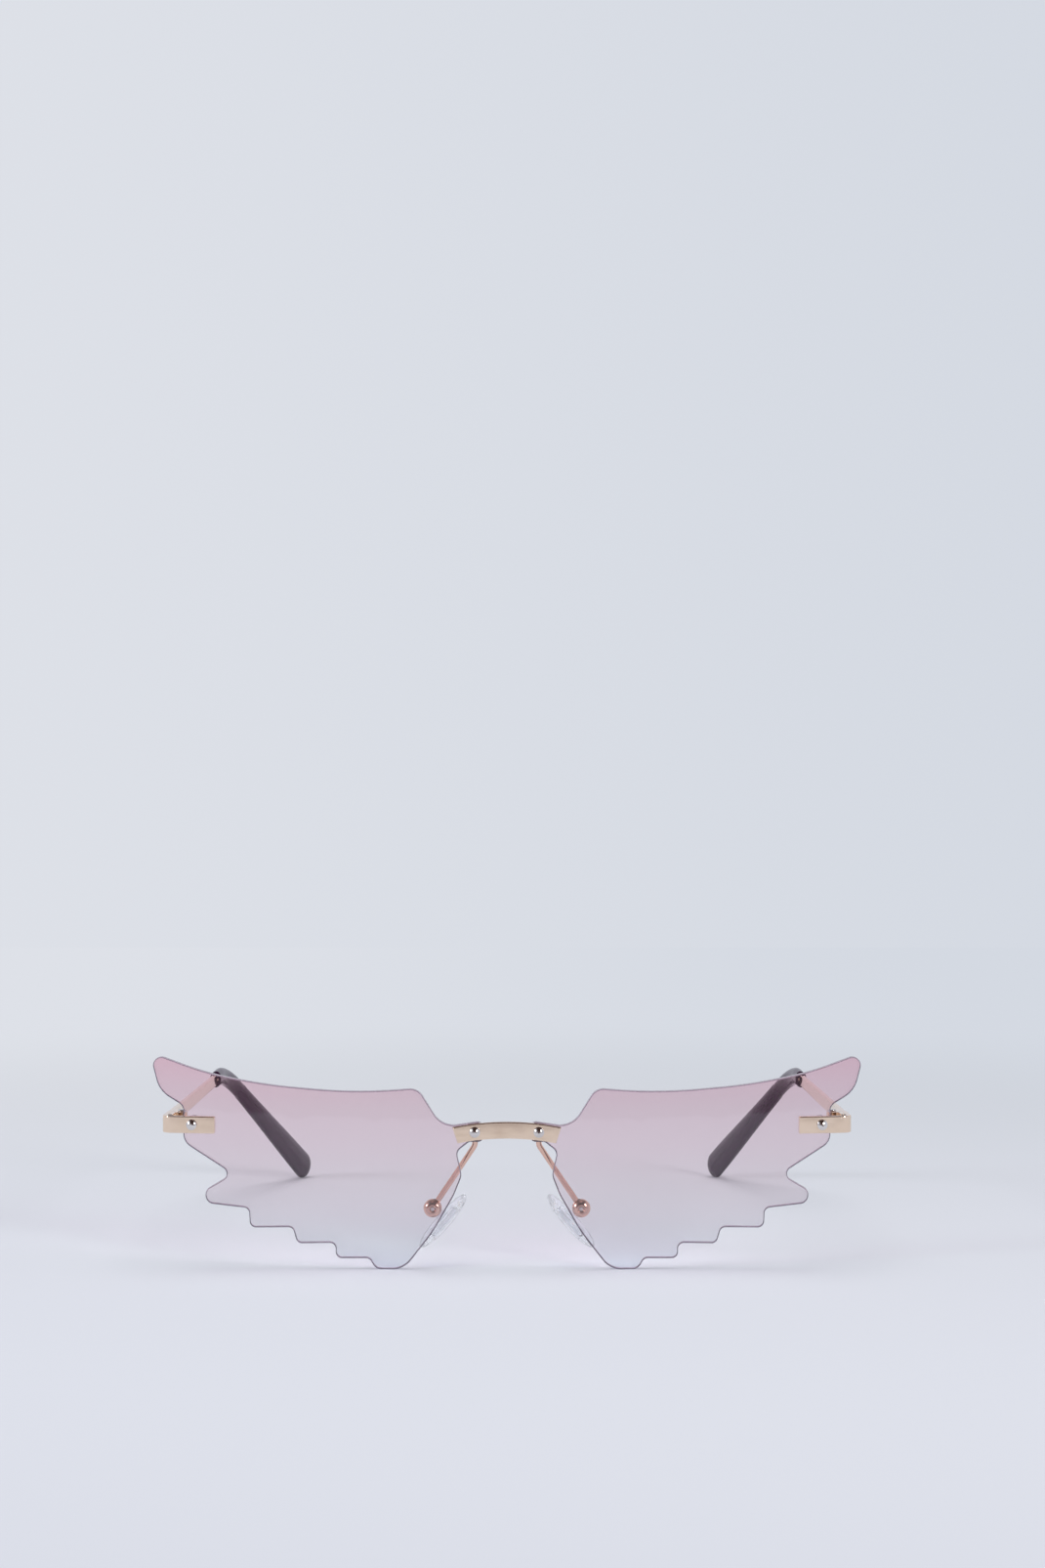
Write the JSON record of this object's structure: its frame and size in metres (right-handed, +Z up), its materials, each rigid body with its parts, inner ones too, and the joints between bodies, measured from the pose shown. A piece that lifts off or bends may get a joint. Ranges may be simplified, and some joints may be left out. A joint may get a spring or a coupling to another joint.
{
  "type": "rimless butterfly sunglasses",
  "caption": "Rimless sunglasses with feathered wing lenses, arched metal bridge, folding metal temples with plastic tips and rocking silicone nose pads.",
  "frame": {"origin": "on the surface the pair stands on, under the middle of its whole width and depth", "axes": "+X across the face to the right as seen from in front, +Y from the lenses back to the ears, +Z up"},
  "size_m": [0.15, 0.1344, 0.0444],
  "materials": {
    "lens_tint": "polished clear plastic, tinted from dusty pink at the top to blue grey at the bottom",
    "gold_metal": "polished champagne gold plating",
    "rose_metal": "polished rose gold plating",
    "polished_screws": "polished nickel",
    "clear_plastic": "clear moulded plastic",
    "pad_silicone": "clear soft silicone",
    "tip_plastic": "glossy plum black plastic"
  },
  "bodies": {
    "frame": {"bridge": "gold_metal", "bridge_screws": "polished_screws", "endpiece_screws": "polished_screws", "bridge_bushings": "clear_plastic", "endpiece_bushings": "clear_plastic", "bridge_nuts": "polished_screws", "endpiece_nuts": "polished_screws", "lens_left": "lens_tint", "lens_right": "lens_tint", "endpiece_left": "gold_metal", "endpiece_right": "gold_metal", "front_hinge_leaf_left": "gold_metal", "front_hinge_leaf_right": "gold_metal", "hinge_screw_left": "polished_screws", "hinge_screw_right": "polished_screws", "pad_arm_left": "rose_metal", "pad_arm_right": "rose_metal", "pad_box_left": "rose_metal", "pad_box_right": "rose_metal", "pad_screw_left": "polished_screws", "pad_screw_right": "polished_screws"},
    "temple_left": {"temple_left": "gold_metal", "temple_tip_left": "tip_plastic", "rear_hinge_leaf_left": "gold_metal"},
    "pad_left": {"nose_pad_left": "pad_silicone", "pad_core_left": "clear_plastic"},
    "temple_right": {"temple_right": "gold_metal", "temple_tip_right": "tip_plastic", "rear_hinge_leaf_right": "gold_metal"},
    "pad_right": {"nose_pad_right": "pad_silicone", "pad_core_right": "clear_plastic"}
  },
  "joints": [
    {"name": "temple_fold_left", "type": "hinge", "parent": "frame", "child": "temple_left", "pos_m": [-0.06936, -0.05344, 0.03028], "axis": [0, 0, -1], "range_deg": [0, 82]},
    {"name": "temple_fold_right", "type": "hinge", "parent": "frame", "child": "temple_right", "pos_m": [0.06936, -0.05344, 0.03028], "axis": [0, 0, 1], "range_deg": [0, 75]},
    {"name": "pad_rock_left", "type": "hinge", "parent": "frame", "child": "pad_left", "pos_m": [-0.01575, -0.05835, 0.0121], "axis": [0, 1, 0], "range_deg": [-10, 10]},
    {"name": "pad_rock_right", "type": "hinge", "parent": "frame", "child": "pad_right", "pos_m": [0.01575, -0.05835, 0.0121], "axis": [0, 1, 0], "range_deg": [-10, 10]}
  ]
}
